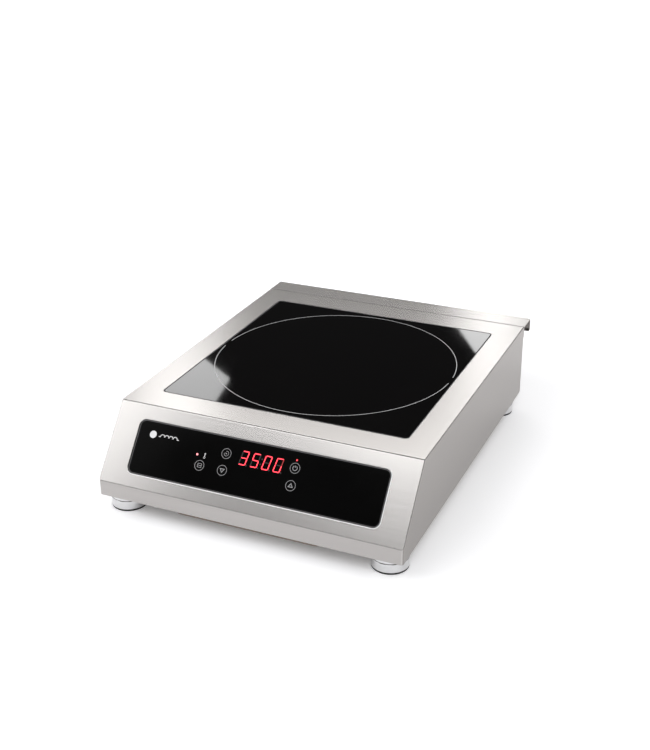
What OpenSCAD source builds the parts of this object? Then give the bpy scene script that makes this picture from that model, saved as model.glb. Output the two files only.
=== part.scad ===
// Countertop induction hob with a sloped control panel and four levelling feet.
// +X is to the right seen from the front, +Y to the back and +Z up.
// The origin lies on the table, midway across and midway from the front to the rear hood.

/* [Body] */
// Width of the body
body_w = 327; // [322:1:340]
// Depth over everything, from the front strip to the rear hood
total_d = 425; // [415:1:440]
// Height of the cooking surface above the table
total_h = 100; // [98:1:110]
// Height of the gap under the body
foot_h = 17; // [16:1:20]
// Height of the upright strip along the front
strip_h = 16.3; // [14:0.1:18]
// How far the sloped fascia leans back from foot to top
slope_run = 53.75; // [50:0.25:58]
// How far the rear hood stands out behind the body
hood_reach = 29.4; // [24:0.1:34]
// Thickness of the steel sheet
sheet = 1.2; // [1:0.1:1.5]
// Outside radius of the bends
bend_r = 2.5; // [2:0.1:3]

/* [Cooking surface] */
// Width of the glass
glass_w = 269; // [262:1:272]
// Depth of the glass
glass_d = 276.3; // [268:0.1:280]
// Distance of the glass's front edge from the front of the body
glass_front = 85.8; // [82:0.1:90]
// Thickness of the glass
glass_t = 4; // [3.5:0.5:4.5]
// Corner radius of the glass
glass_r = 4; // [2:0.5:8]
// Width of the seal around the glass
seal_w = 1.2; // [0.8:0.1:1.6]

/* [Control panel] */
// Width of the window in the fascia
window_w = 271.5; // [262:0.5:276]
// Height of the window, measured along the slope
window_h = 56.5; // [50:0.5:58]
// Distance of the window's lower edge from the fascia's lower bend
window_low = 14; // [14:0.1:17]
// Corner radius of the window
window_r = 7; // [4:0.5:9]

/* [Feet] */
// Diameter of a foot
foot_dia = 37; // [34:1:40]
// Distance of a foot's centre from the middle of the body
foot_x = 142.9; // [140:0.1:144]
// Distance of the front feet's centres from the front of the body
foot_front = 22.1; // [20:0.1:26]
// Distance of the rear feet's centres from the back of the body
foot_rear = 23.9; // [21:0.1:30]

/* [Cooling] */
// Side of the square fan
fan_size = 120; // [116:1:124]
// Distance of the fan's centre in front of the origin
fan_ahead = 75; // [72:1:78]
// Number of blades on the rotor
fan_blades = 7; // [5:1:9]

/* [Coil] */
// Turns in the winding
coil_turns = 18; // [14:1:19]
// Number of ferrite bars
ferrites = 8; // [6:1:8]

/* [Hidden] */
$fn = 48;

// Cuts run this far past the solid that they open
past = 1;
// Gap between pieces that are only laid against each other
snug = 0.05;

// Body outline
front_y = -total_d / 2;
back_y = total_d / 2 - hood_reach;
strip_top = foot_h + strip_h;
slope_rise = total_h - strip_top;
slope_top_y = front_y + slope_run;
slope = atan2(slope_rise, slope_run);
inside_w = body_w - 2 * sheet;
edge_r = 0.7;
hood_seam = 1.05;
rivet_hole_r = 1.7;
screw_shank_r = 1.65;
screw_hole_r = 1.7;
screw_clear_r = 1.9;
screw_head_r = 3.2;
screw_head_h = 1.8;
rivet_xs = [-140, -50, 50, 140];
rivet_drop = 10;
return_w = 8;
return_z = foot_h + sheet + 0.2;
rear_return_h = 76;
front_return_l = 240;
screw_line = body_w / 2 - sheet - return_w / 2;
rear_screw_zs = [40, 76];
low_screw_x = 60;
low_screw_up = 9;
front_screw_x = 100;

// Base plate and its lowered middle
base_gap = 0.2;
base_top = foot_h + sheet;
press_depth = 4.5;
press_w = 162;
press_front = front_y + 4.2;
press_back = -5;
press_floor = foot_h - press_depth;
press_r = 9.2;
rear_flange_w = 290;
rear_flange_h = 13;

// Glass
glass_y = front_y + glass_front + glass_d / 2;
glass_low = total_h - glass_t;
glass_bevel = 0.4;
seal_drop = 0.4;
opening_w = glass_w + 2 * seal_w;
opening_d = glass_d + 2 * seal_w;
opening_r = glass_r + seal_w;
ledge_inset = 9;
ledge_wall = 3;
ledge_flange = 10;
ledge_z = glass_low - sheet - snug;
base_screw_ys = [front_y + 55, glass_y - 20, back_y - 50];

// Control panel, in the fascia's own plane: x across, y up the slope, z out of the surface
window_mid = window_low + window_h / 2;
rim_ease = 0.35;
overlay_t = 2;
overlay_lap = 4;
overlay_z = -sheet - snug - overlay_t;
tray_wall = 2;
tray_depth = 12.6;
tray_z = overlay_z - snug - tray_depth;
board_rest = 8;
board_t = 1.6;
board_hole_r = 1.6;
control_board_z = tray_z + 4;
board_face = control_board_z + board_t;
display_mid = [4, 52.5];
display_size = [52, 20];
digit_pitch = 12.4;
digit_recess = [10, 16, 0.4];
button_spots = [[-59.2, 36.4], [-34, 36.4], [-34, 53.3], [40, 36.4], [40, 53.3]];
led_spots = [[-64.6, 47], [40, 61.4]];
ribbon_x = 100;
ribbon_w = 20;
plug_size = [24, 6, 5.4];
plug_up = window_mid - 20;

// Coil, from the tray upwards
coil_tray_z = 74;
coil_tray_w = 260;
coil_tray_d = 248;
ferrite_z = 81;
ferrite_t = 5;
ferrite_l = 74;
ferrite_w = 15;
ferrite_mid = 66;
carrier_t = 2;
carrier_z = ferrite_z + ferrite_t + snug;
carrier_r = 110;
winding_t = 3.6;
winding_z = carrier_z + carrier_t;
winding_in = 24;
winding_pitch = 4.6;
mica_t = 0.4;
mica_z = glass_low - 1;
support_r = 99;
lead_hole = [90, 84];
lead_hole_r = 8;
sensor_hole_r = 22;

// Boards
board_z = base_top + 5.8;
power_board_box = [[-62, 6], [128, 160]];
filter_board_box = [[-150, -125], [-68, 50]];
board_inset = 6;

// Terminal block for the mains
terminal_spot = [-112, 108];
terminal_pitch = 14;
terminal_hole_up = 7;

// Heat sink over the transistors
sink_w = 104;
sink_y = [12, 142];
sink_z = board_z + board_t + 5.8;
sink_base = 6;
sink_top = 66;
fins = 14;
fin_t = 1.8;

// Fan
fan_y = -fan_ahead;
fan_h = 25;
fan_z = press_floor + sheet;
fan_bore = fan_size / 2 - 2.5;
rotor_hub_r = 21;
fan_shaft_r = 2;
fan_fit = 0.05;
fan_pitch = fan_size / 2 - 7.5;

// Cable gland
gland_x = -118;
gland_z = 52;
gland_thread_r = 8;
gland_bore_r = 5.5;
gland_hex = 22;
cable_r = 4.5;

// Feet: a collar under the body, and a cup with its stud that screws in and out of it
foot_rear_y = back_y - foot_rear;
foot_front_y = front_y + foot_front;
collar_low = 11.8;
cup_top = 11.4;
cup_low = 2;
stud_r = 4;
stud_top = foot_h + 13;
thread_fit = 0.06;
pad_top = 3.7;
pad_neck_r = 13;
pad_gap = 0.3;
pin_r = 3;
pin_head_r = 5;

function unit(v) = v / norm(v);
function turn_between(a, b) = a - b > 180 ? a - b - 360 : a - b < -180 ? a - b + 360 : a - b;
function arc(c, r, from, sweep, steps) =
    [for (i = [0:steps]) c + r * [cos(from + sweep * i / steps), sin(from + sweep * i / steps)]];

// The points of one corner at p, rounded between its neighbours q and s
function corner(p, q, s, r) =
    let (a = unit(q - p), b = unit(s - p), half = acos(a * b) / 2)
    let (c = p + unit(a + b) * r / sin(half), reach = r / tan(half))
    let (from = p + a * reach - c, to = p + b * reach - c)
    let (start = atan2(from.y, from.x), sweep = turn_between(atan2(to.y, to.x), start))
    arc(c, r, start, sweep, 6);

// An outline whose corners are rounded, each with its own radius, or sharp where that is 0
function rounded(points, radii) =
    let (n = len(points))
    [for (i = [0:n - 1])
        each (radii[i] > 0
            ? corner(points[i], points[(i + n - 1) % n], points[(i + 1) % n], radii[i])
            : [points[i]])];

function rectangle(w, d) = [[-w / 2, -d / 2], [w / 2, -d / 2], [w / 2, d / 2], [-w / 2, d / 2]];

// A rectangle with rounded corners, centred on the origin
module round_rect(w, d, r) {
    square([w - 2 * r, d], center = true);
    square([w, d - 2 * r], center = true);
    for (x = [-1, 1], y = [-1, 1]) translate([x * (w / 2 - r), y * (d / 2 - r)]) circle(r);
}

// A box standing on z = at.z, centred on at.x and at.y
module block(size, at) {
    translate([at.x - size.x / 2, at.y - size.y / 2, at.z]) cube(size);
}

module round_block(w, d, h, r, at) {
    translate(at) linear_extrude(h) round_rect(w, d, r);
}

// A slab whose rounded outline shrinks by in over its height h, or grows when in is negative
module tapered_slab(w, d, h, r, in, at) {
    translate(at) {
        rotate([90, 0, 90]) translate([0, 0, r - w / 2]) linear_extrude(w - 2 * r)
            polygon([[-d / 2, 0], [d / 2, 0], [d / 2 - in, h], [in - d / 2, h]]);
        rotate([90, 0, 0]) translate([0, 0, r - d / 2]) linear_extrude(d - 2 * r)
            polygon([[-w / 2, 0], [w / 2, 0], [w / 2 - in, h], [in - w / 2, h]]);
        for (x = [-1, 1], y = [-1, 1]) translate([x * (w / 2 - r), y * (d / 2 - r), 0])
            cylinder(h = h, r1 = r, r2 = r - in);
    }
}

// A flat frame between two rounded rectangles
module frame_ring(w, d, h, r, wall, at) {
    translate(at) linear_extrude(h) difference() {
        round_rect(w, d, r);
        round_rect(w - 2 * wall, d - 2 * wall, r - min(wall, r - 0.2));
    }
}

module tube(r_out, r_in, h) {
    difference() {
        cylinder(h = h, r = r_out);
        translate([0, 0, -past]) cylinder(h = h + 2 * past, r = r_in);
    }
}

module hexagon(across, h) {
    cylinder(h = h, d = across / cos(30), $fn = 6);
}

// The direction of a wire at one of its points, and a direction square to it that turns as little as it can
function heading(p, i) =
    i == 0 ? unit(p[1] - p[0])
    : i == len(p) - 1 ? unit(p[i] - p[i - 1])
    : unit(unit(p[i + 1] - p[i]) + unit(p[i] - p[i - 1]));
function sideways(p, i) =
    let (t = heading(p, i), seed = i > 0 ? sideways(p, i - 1) : abs(t.z) > 0.9 ? [1, 0, 0] : [0, 0, 1])
    unit(seed - (seed * t) * t);

// A wire through a list of points, with eight flat sides
module wire(points, r) {
    sides = 8;
    count = len(points);
    rings = [
        for (i = [0:count - 1])
            let (t = heading(points, i), u = sideways(points, i), v = cross(t, u))
            for (k = [0:sides - 1]) points[i] + r * (cos(k * 360 / sides) * u + sin(k * 360 / sides) * v)
    ];
    walls = [
        for (i = [0:count - 2], k = [0:sides - 1])
            let (a = i * sides + k, b = i * sides + (k + 1) % sides)
            each [[a, a + sides, b], [b, a + sides, b + sides]]
    ];
    first = [for (k = [0:sides - 1]) k];
    last = [for (k = [sides - 1:-1:0]) (count - 1) * sides + k];
    polyhedron(rings, concat([first], walls, [last]));
}

// A pan-head screw with its head at z = 0 and its shank below
module screw(head_r, head_h, shank_r, length) {
    difference() {
        union() {
            cylinder(h = head_h, r = head_r);
            translate([0, 0, -length]) cylinder(h = length, r = shank_r);
        }
        for (turn = [0, 90]) rotate(turn)
            translate([-head_r * 0.55, -0.4, head_h * 0.5]) cube([head_r * 1.1, 0.8, head_h]);
    }
}

// Draws an outline given in Y and Z, as a bar of width w across the body
module across(w) {
    translate([-w / 2, 0, 0]) rotate([90, 0, 90]) linear_extrude(w) children();
}

// Draws an outline given in X and Z, as a bar from y0 to y1
module lengthwise(y0, y1) {
    translate([0, y1, 0]) rotate([90, 0, 0]) linear_extrude(y1 - y0) children();
}

// Places things in the fascia's plane
module on_fascia() {
    translate([0, front_y, strip_top]) rotate([slope, 0, 0]) children();
}

module at_feet() {
    for (x = [-foot_x, foot_x], y = [foot_front_y, foot_rear_y]) translate([x, y, 0]) children();
}

module at_base_screws() {
    for (x = [-screw_line, screw_line], y = base_screw_ys) translate([x, y, foot_h]) children();
    for (x = [-front_screw_x, front_screw_x])
        translate([x, front_y + sheet + return_w / 2, foot_h]) children();
}

module at_rear_screws() {
    for (x = [-screw_line, screw_line], z = rear_screw_zs)
        translate([x, back_y, z]) rotate([-90, 0, 0]) children();
    for (x = [-low_screw_x, low_screw_x])
        translate([x, back_y, foot_h + low_screw_up]) rotate([-90, 0, 0]) children();
}

module at_rivets() {
    for (x = rivet_xs) translate([x, back_y, total_h - rivet_drop]) rotate([-90, 0, 0]) children();
}

// ---------- Body ----------

// The closed outer form of the body, with every bend and edge rounded
module body_form() {
    side = [
        [front_y, foot_h], [front_y, strip_top], [slope_top_y, total_h], [back_y, total_h], [back_y, foot_h]
    ];
    plan = [[-body_w / 2, front_y], [body_w / 2, front_y], [body_w / 2, back_y], [-body_w / 2, back_y]];
    section = [[-body_w / 2, 0], [body_w / 2, 0], [body_w / 2, total_h], [-body_w / 2, total_h]];
    deep_section = [[-body_w / 2, 0], [body_w / 2, 0], [body_w / 2, total_d], [-body_w / 2, total_d]];
    intersection() {
        across(body_w) polygon(rounded(side, [0, bend_r, bend_r, 0, 0]));
        linear_extrude(total_h) polygon(rounded(plan, [bend_r, bend_r, 0, 0]));
        lengthwise(front_y, back_y) polygon(rounded(section, [0, 0, edge_r, edge_r]));
        on_fascia() translate([0, 0, -total_d])
            lengthwise(-total_d, total_d * 2)
            polygon(rounded(deep_section, [0, 0, edge_r, edge_r]));
    }
}

// The space inside the sheet, open below and behind
module body_space() {
    lean_front = sheet * tan(45 - slope / 2);
    lean_top = sheet * tan(slope / 2);
    inside = [
        [front_y + sheet, foot_h - past], [front_y + sheet, strip_top - lean_front],
        [slope_top_y + lean_top, total_h - sheet],
        [back_y + past, total_h - sheet], [back_y + past, foot_h - past]
    ];
    across(inside_w) polygon(inside);
}

// The window's opening, with its outer rim eased by the punch
module fascia_window() {
    round_block(window_w, window_h, 4 * bend_r, window_r, [0, window_mid, -2 * bend_r]);
    tapered_slab(window_w, window_h, 2 * rim_ease, window_r, -2 * rim_ease, [0, window_mid, -rim_ease]);
}

module housing() {
    return_end = 10;
    return_l = back_y - front_y - 2 * (sheet + return_end);
    color("silver") difference() {
        union() {
            difference() {
                body_form();
                body_space();
            }
            for (x = [-1, 1]) {
                block([return_w, return_l, sheet], [x * screw_line, (front_y + back_y) / 2, return_z]);
                block([return_w, sheet, rear_return_h],
                    [x * screw_line, back_y - 1.5 * sheet - base_gap, return_z]);
            }
            block([front_return_l, return_w, sheet], [0, front_y + sheet + return_w / 2, return_z]);
        }
        round_block(opening_w, opening_d, 4 * sheet, opening_r, [0, glass_y, total_h - 2 * sheet]);
        on_fascia() fascia_window();
        at_base_screws() cylinder(h = 6, r = screw_hole_r);
        at_rear_screws() translate([0, 0, -6]) cylinder(h = 8, r = screw_hole_r);
    }
}

// A channel that carries the top on past the back, with a hem along its lower edge
module rear_hood() {
    y0 = back_y + hood_seam;
    y1 = total_d / 2;
    inner_low = total_h - 14;
    outer_low = total_h - 15;
    hem = 4.6;
    inside_r = 0.5;
    outside_r = 1.8;
    profile = rounded(
        [
            [y0, inner_low], [y0, total_h], [y1, total_h], [y1, outer_low], [y1 - hem, outer_low],
            [y1 - hem, outer_low + sheet], [y1 - sheet, outer_low + sheet], [y1 - sheet, total_h - sheet],
            [y0 + sheet, total_h - sheet], [y0 + sheet, inner_low]
        ],
        [0, inside_r, outside_r, outside_r, 0, 0, inside_r, inside_r, inside_r, 0]);
    color("silver") difference() {
        across(body_w - 2 * base_gap) polygon(profile);
        at_rivets() cylinder(h = 4, r = rivet_hole_r);
    }
}

module rear_panel() {
    slot_w = 3.5;
    slot_h = 40;
    slot_low = 34;
    slot_pitch = 7;
    color("silver") difference() {
        block([inside_w - 2 * base_gap, sheet, total_h - sheet - foot_h - base_gap],
            [0, back_y - sheet / 2, foot_h]);
        for (i = [-9.5:9.5]) translate([i * slot_pitch, back_y + past, slot_low])
            rotate([90, 0, 0]) linear_extrude(3 * sheet) translate([0, slot_h / 2])
            round_rect(slot_w, slot_h, slot_w / 2 - 0.01);
        translate([gland_x, back_y + past, gland_z]) rotate([90, 0, 0])
            cylinder(h = 3 * sheet, r = gland_thread_r + 0.2);
        at_rear_screws() translate([0, 0, -3]) cylinder(h = 6, r = screw_clear_r);
        at_rivets() translate([0, 0, -3]) cylinder(h = 6, r = rivet_hole_r);
    }
}

// The lowered middle is a shallow tray that holds the air intake
module base_plate() {
    y0 = front_y + sheet + base_gap;
    y1 = back_y - sheet - base_gap;
    press_d = press_back - press_front;
    press_mid = (press_front + press_back) / 2;
    press_in_w = press_w - 2 * sheet;
    press_in_d = press_d - 2 * sheet;
    intake_r = fan_bore - 4;
    intake_slot = 3.5;
    intake_pitch = 7.2;
    color("lightgray") difference() {
        union() {
            difference() {
                block([inside_w - 2 * base_gap, y1 - y0, sheet], [0, (y0 + y1) / 2, foot_h]);
                round_block(press_in_w, press_in_d, 4 * sheet, press_r - sheet,
                    [0, press_mid, foot_h - sheet]);
            }
            difference() {
                round_block(press_w, press_d, press_depth + sheet / 2, press_r, [0, press_mid, press_floor]);
                round_block(press_in_w, press_in_d, 2 * press_depth, press_r - sheet,
                    [0, press_mid, fan_z]);
            }
            block([rear_flange_w, sheet, rear_flange_h], [0, y1 - sheet / 2, foot_h]);
        }
        intersection() {
            for (i = [-7:7])
                block([intake_slot, 2 * intake_r, 8], [i * intake_pitch, fan_y, press_floor - past]);
            translate([0, fan_y, press_floor - 2 * past]) tube(intake_r, rotor_hub_r + 1, 12);
        }
        at_fan_screws() translate([0, 0, -8]) cylinder(h = 20, r = 2.2);
        at_feet() translate([0, 0, foot_h - past]) cylinder(h = 4, r = stud_r + 0.6);
        at_base_screws() translate([0, 0, -past]) cylinder(h = 4, r = screw_clear_r);
        at_rear_screws() translate([0, 0, -6]) cylinder(h = 8, r = screw_hole_r);
    }
}

module base_screws() {
    color("gray") at_base_screws() rotate([180, 0, 0]) screw(screw_head_r, screw_head_h, screw_shank_r, 5);
}

module rear_screws() {
    color("gray") at_rear_screws() screw(screw_head_r, screw_head_h, screw_shank_r, 4.5);
}

// Dome-headed blind rivets through the hood's inner leg
module hood_rivets() {
    tail = 1.5;
    color("silver") at_rivets() {
        translate([0, 0, hood_seam + sheet]) cylinder(h = 1.1, r1 = 3.2, r2 = 2.2);
        translate([0, 0, -sheet - tail])
            cylinder(h = 2 * sheet + hood_seam + tail, r = rivet_hole_r - snug);
        translate([0, 0, -sheet - tail - snug]) cylinder(h = tail, r = 2.2);
    }
}

// ---------- Cooking surface ----------

module glass_plate() {
    color("black") {
        round_block(glass_w, glass_d, glass_t - glass_bevel, glass_r, [0, glass_y, glass_low]);
        tapered_slab(glass_w, glass_d, glass_bevel, glass_r, glass_bevel,
            [0, glass_y, total_h - glass_bevel]);
    }
}

module glass_seal() {
    fit = 0.02;
    color("dimgray") frame_ring(opening_w - 2 * fit, opening_d - 2 * fit, glass_t - seal_drop,
        opening_r - fit, seal_w - 2 * fit, [0, glass_y, glass_low]);
}

// A stepped frame fixed under the top that the glass and its seal stand on
module glass_ledge() {
    rim_w = opening_w + 2 * ledge_wall;
    rim_d = opening_d + 2 * ledge_wall;
    flange_h = total_h - sheet - snug - ledge_z;
    color("gray") {
        frame_ring(rim_w, rim_d, sheet, opening_r + ledge_wall, ledge_wall + seal_w + ledge_inset,
            [0, glass_y, ledge_z]);
        frame_ring(rim_w, rim_d, flange_h, opening_r + ledge_wall, sheet, [0, glass_y, ledge_z]);
        frame_ring(rim_w + 2 * ledge_flange, rim_d + 2 * ledge_flange, sheet,
            opening_r + ledge_wall + ledge_flange, ledge_flange + sheet,
            [0, glass_y, ledge_z + flange_h - sheet]);
    }
}

// ---------- Control panel ----------

module control_overlay() {
    color("black") on_fascia() round_block(window_w + 2 * overlay_lap, window_h + 2 * overlay_lap,
        overlay_t, window_r + overlay_lap, [0, window_mid, overlay_z]);
}

// An open plastic tray that presses the overlay forward and holds the board
module control_tray() {
    w = window_w + 2 * overlay_lap;
    h = window_h + 2 * overlay_lap;
    color("darkslategray") on_fascia() difference() {
        round_block(w, h, tray_depth, window_r + overlay_lap, [0, window_mid, tray_z]);
        round_block(w - 2 * tray_wall, h - 2 * tray_wall, tray_depth, window_r + overlay_lap - tray_wall,
            [0, window_mid, control_board_z]);
        round_block(w - 2 * board_rest, h - 2 * board_rest, tray_depth, window_r,
            [0, window_mid, tray_z + tray_wall]);
        block([plug_size.x + 2, plug_size.y + 2, tray_depth],
            [ribbon_x, plug_up, control_board_z - tray_depth]);
    }
}

module control_board() {
    hole_x = window_w / 2 - 8;
    hole_y = window_h / 2 - 8;
    color("darkgreen") on_fascia() difference() {
        round_block(window_w, window_h, board_t, window_r, [0, window_mid, control_board_z]);
        for (x = [-hole_x, hole_x], y = [-hole_y, hole_y])
            translate([x, window_mid + y, control_board_z - past]) cylinder(h = 4, r = board_hole_r);
    }
}

// Four digits in one block, each behind its own shallow recess
module display_module() {
    height = overlay_z - snug - board_face - 0.2;
    color("dimgray") on_fascia() difference() {
        block([display_size.x, display_size.y, height], [display_mid.x, display_mid.y, board_face]);
        for (i = [-1.5:1.5]) block([digit_recess.x, digit_recess.y, 1],
            [display_mid.x + i * digit_pitch, display_mid.y, board_face + height - digit_recess.z]);
    }
}

module indicator_leds() {
    height = overlay_z - snug - board_face - 0.4;
    r = 1.5;
    color("red") on_fascia() for (spot = led_spots) translate([spot.x, spot.y, board_face]) {
        cylinder(h = height - r, r = r);
        translate([0, 0, height - r]) sphere(r = r);
        cylinder(h = 1, r = r + 0.4);
    }
}

// Springs that carry each touch key's signal from the board to the back of the overlay
module touch_springs() {
    turns = 4;
    wire_r = 0.4;
    coil_r = 4;
    head_t = 0.7;
    riser = 0.6;
    height = overlay_z - snug - board_face;
    pitch = (height - head_t - 0.3 - 2 * wire_r) / (turns - 1);
    color("goldenrod") on_fascia() for (spot = button_spots) translate([spot.x, spot.y, board_face]) {
        for (i = [0:turns - 1]) translate([0, 0, wire_r + i * pitch])
            rotate_extrude() translate([coil_r, 0]) circle(wire_r, $fn = 16);
        block([riser, riser, height - riser], [coil_r, 0, 0]);
        translate([0, 0, height - head_t]) cylinder(h = head_t, r = coil_r + 0.6);
    }
}

// A point in the fascia's plane, given as its height up the slope and its distance out of it, in Y and Z
function behind_fascia(up, out) =
    [front_y + up * cos(slope) - out * sin(slope), strip_top + up * sin(slope) + out * cos(slope)];

// One side of a bent strip: its route moved sideways by off, with the bends mitred
function beside(route, off) =
    let (last = len(route) - 1)
    [for (i = [0:last])
        let (a = unit(route[max(i, 1)] - route[max(i, 1) - 1]))
        let (b = unit(route[min(i, last - 1) + 1] - route[min(i, last - 1)]))
        let (mitre = unit([-a.y - b.y, a.x + b.x]))
        route[i] + mitre * off / (mitre * [-a.y, a.x])];

// A flat cable with a plug at each end, from the control board down to the base and on to the power board
module ribbon_cable() {
    thick = 1;
    plug_back = control_board_z - snug - plug_size.z;
    low_z = base_top + 2.2;
    entry_y = low(power_board_box).y + 1.2;
    entry_z = board_z + board_t + 3;
    route = [
        behind_fascia(plug_up, plug_back + 1), behind_fascia(plug_up, plug_back - 4), [-170, low_z + 8],
        [-163, low_z], [entry_y - 14, low_z], [entry_y - 6, entry_z - 1], [entry_y + 1, entry_z]
    ];
    last = len(route) - 1;
    under = beside(route, -thick / 2);
    color("gainsboro") translate([ribbon_x, 0, 0]) across(ribbon_w)
        polygon(concat(beside(route, thick / 2), [for (i = [last:-1:0]) under[i]]));
    color("ivory") {
        block(plug_size, [ribbon_x, entry_y + plug_size.y / 2, board_z + board_t]);
        on_fascia() block(plug_size, [ribbon_x, plug_up, plug_back]);
    }
}

// ---------- Coil ----------

// Flat spiral of stranded wire
module coil_winding() {
    steps = 20;
    count = coil_turns * steps;
    half = winding_t / 2 - 0.1;
    function spot(i, off) =
        (winding_in + off + winding_pitch * i / steps) * [cos(i * 360 / steps), sin(i * 360 / steps)];
    color("chocolate") translate([0, glass_y, winding_z]) linear_extrude(winding_t)
        polygon(concat([for (i = [0:count]) spot(i, half)], [for (i = [count:-1:0]) spot(i, -half)]));
}

// A disc with air slots, a hub in its middle and a rib along each side of every ferrite
module coil_carrier() {
    slot = [46, 16];
    slot_mid = 70;
    rib_t = 1.2;
    rib_y = ferrite_w / 2 + rib_t / 2 + 0.2;
    hub_out = 12;
    hub_in = 10;
    color("dimgray") translate([0, glass_y, 0]) {
        difference() {
            translate([0, 0, carrier_z]) cylinder(h = carrier_t, r = carrier_r);
            translate([0, 0, carrier_z - past]) cylinder(h = 5, r = hub_out);
            for (i = [0:ferrites - 1]) rotate((i + 0.5) * 360 / ferrites)
                round_block(slot.x, slot.y, 6, slot.y / 2 - 1, [slot_mid, 0, carrier_z - past]);
        }
        translate([0, 0, carrier_z]) tube(hub_out, hub_in, mica_z - carrier_z - 0.6);
        for (i = [0:ferrites - 1]) rotate(i * 360 / ferrites) for (side = [-1, 1])
            block([ferrite_l + 2, rib_t, ferrite_t - 1], [ferrite_mid, side * rib_y, ferrite_z + 1]);
    }
}

module ferrite_bars() {
    color("black") translate([0, glass_y, 0]) for (i = [0:ferrites - 1]) rotate(i * 360 / ferrites)
        block([ferrite_l, ferrite_w, ferrite_t], [ferrite_mid, 0, ferrite_z]);
}

module mica_disc() {
    color("tan") translate([0, glass_y, mica_z]) difference() {
        cylinder(h = mica_t, r = carrier_r);
        translate([0, 0, -past]) cylinder(h = 3, r = 8);
    }
}

// Silicone cup in the middle of the coil that pushes the sensor up against the glass
module sensor_holder() {
    color("white") translate([0, glass_y, carrier_z + 1]) {
        tube(7, 3, glass_low - carrier_z - 4.4);
        tube(9.5, 3, 1.4);
    }
}

module temperature_sensor() {
    color("silver") translate([0, glass_y, 0]) {
        translate([0, 0, glass_low - 3.3]) cylinder(h = 3.2, r = 5);
        translate([0, 0, carrier_z + 2]) cylinder(h = glass_low - carrier_z - 5, r = 2.4);
    }
}

// Rubber posts between the coil tray and the carrier
module coil_supports() {
    color("black") for (i = [0:3]) translate([0, glass_y, coil_tray_z + sheet]) rotate(22.5 + i * 90)
        translate([support_r, 0, 0]) cylinder(h = carrier_z - coil_tray_z - sheet, r = 5);
}

// Aluminium tray that hangs from the glass ledge and screens the boards from the coil
module coil_tray() {
    wall_h = ledge_z - coil_tray_z - snug;
    lip = 9;
    color("lightsteelblue") difference() {
        union() {
            block([coil_tray_w, coil_tray_d, sheet], [0, glass_y, coil_tray_z]);
            for (x = [-1, 1]) {
                block([sheet, coil_tray_d, wall_h],
                    [x * (coil_tray_w / 2 - sheet / 2), glass_y, coil_tray_z]);
                block([lip, coil_tray_d, sheet],
                    [x * (coil_tray_w / 2 - sheet + lip / 2), glass_y, coil_tray_z + wall_h - sheet]);
            }
        }
        translate([0, glass_y, coil_tray_z - past]) cylinder(h = 4, r = sensor_hole_r);
        translate([lead_hole.x, glass_y + lead_hole.y, coil_tray_z - past])
            cylinder(h = 4, r = lead_hole_r);
    }
}

// The winding's two ends: one passes under the ferrite bars, the other round the carrier's rim
module coil_leads() {
    lead_r = 1.8;
    over_tray = coil_tray_z + sheet + lead_r + 1.2;
    from_rim = carrier_r + lead_r + 0.6;
    down = [lead_hole.x, glass_y + lead_hole.y];
    apart = [2.6, 0];
    foot = board_z + board_t;
    inner_foot = [60, 148];
    outer_foot = [72, 148];
    function at(p, z) = [p.x, p.y, z];
    color("firebrick") {
        wire([
            at([20, glass_y + 3], carrier_z - lead_r - 0.3), at([21, glass_y + 12], over_tray),
            at([32, glass_y + 30], over_tray), at(down - apart - [3, 3], over_tray),
            at(down - apart, coil_tray_z - 1), at(down - apart - [4, -8], coil_tray_z - 12),
            at(inner_foot, 40), at(inner_foot, foot + 4), at(inner_foot, foot)
        ], lead_r);
        wire([
            at([from_rim, glass_y], winding_z + lead_r), at([from_rim, glass_y + 20], winding_z - 3),
            at([from_rim - 10, glass_y + 56], over_tray + 2), at(down + apart + [1, -3], over_tray + 1),
            at(down + apart, coil_tray_z - 1), at(down + apart + [-2, 10], coil_tray_z - 12),
            at(outer_foot, 40), at(outer_foot, foot + 4), at(outer_foot, foot)
        ], lead_r);
    }
}

// ---------- Boards and what they carry ----------

function low(b) = b[0];
function high(b) = b[1];
function middle(b) = (b[0] + b[1]) / 2;

module at_board_holes() {
    for (b = [power_board_box, filter_board_box], x = [low(b).x + board_inset, high(b).x - board_inset],
        y = [low(b).y + board_inset, high(b).y - board_inset]) translate([x, y, 0]) children();
}

module circuit_board(b) {
    size = high(b) - low(b);
    color("darkgreen") difference() {
        block([size.x, size.y, board_t], [middle(b).x, middle(b).y, board_z]);
        at_board_holes() translate([0, 0, board_z - past]) cylinder(h = 4, r = board_hole_r);
    }
}

module power_board() {
    circuit_board(power_board_box);
}

module filter_board() {
    circuit_board(filter_board_box);
}

module board_standoffs() {
    color("goldenrod") at_board_holes() translate([0, 0, base_top]) difference() {
        hexagon(6, board_z - base_top);
        translate([0, 0, 1]) cylinder(h = 9, r = 1.5);
    }
}

module board_screws() {
    color("silver") at_board_holes() translate([0, 0, board_z + board_t]) screw(2.8, 1.8, 1.45, 5);
}

// Aluminium extrusion with its fins along the air flow
module heat_sink() {
    pitch = (sink_w - fin_t) / (fins - 1);
    length = sink_y[1] - sink_y[0];
    mid_y = (sink_y[0] + sink_y[1]) / 2;
    color("lightgray") {
        block([sink_w, length, sink_base], [0, mid_y, sink_z]);
        for (i = [0:fins - 1])
            block([fin_t, length, sink_top - sink_z - sink_base + snug],
                [-sink_w / 2 + fin_t / 2 + i * pitch, mid_y, sink_z + sink_base - snug]);
    }
}

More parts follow.
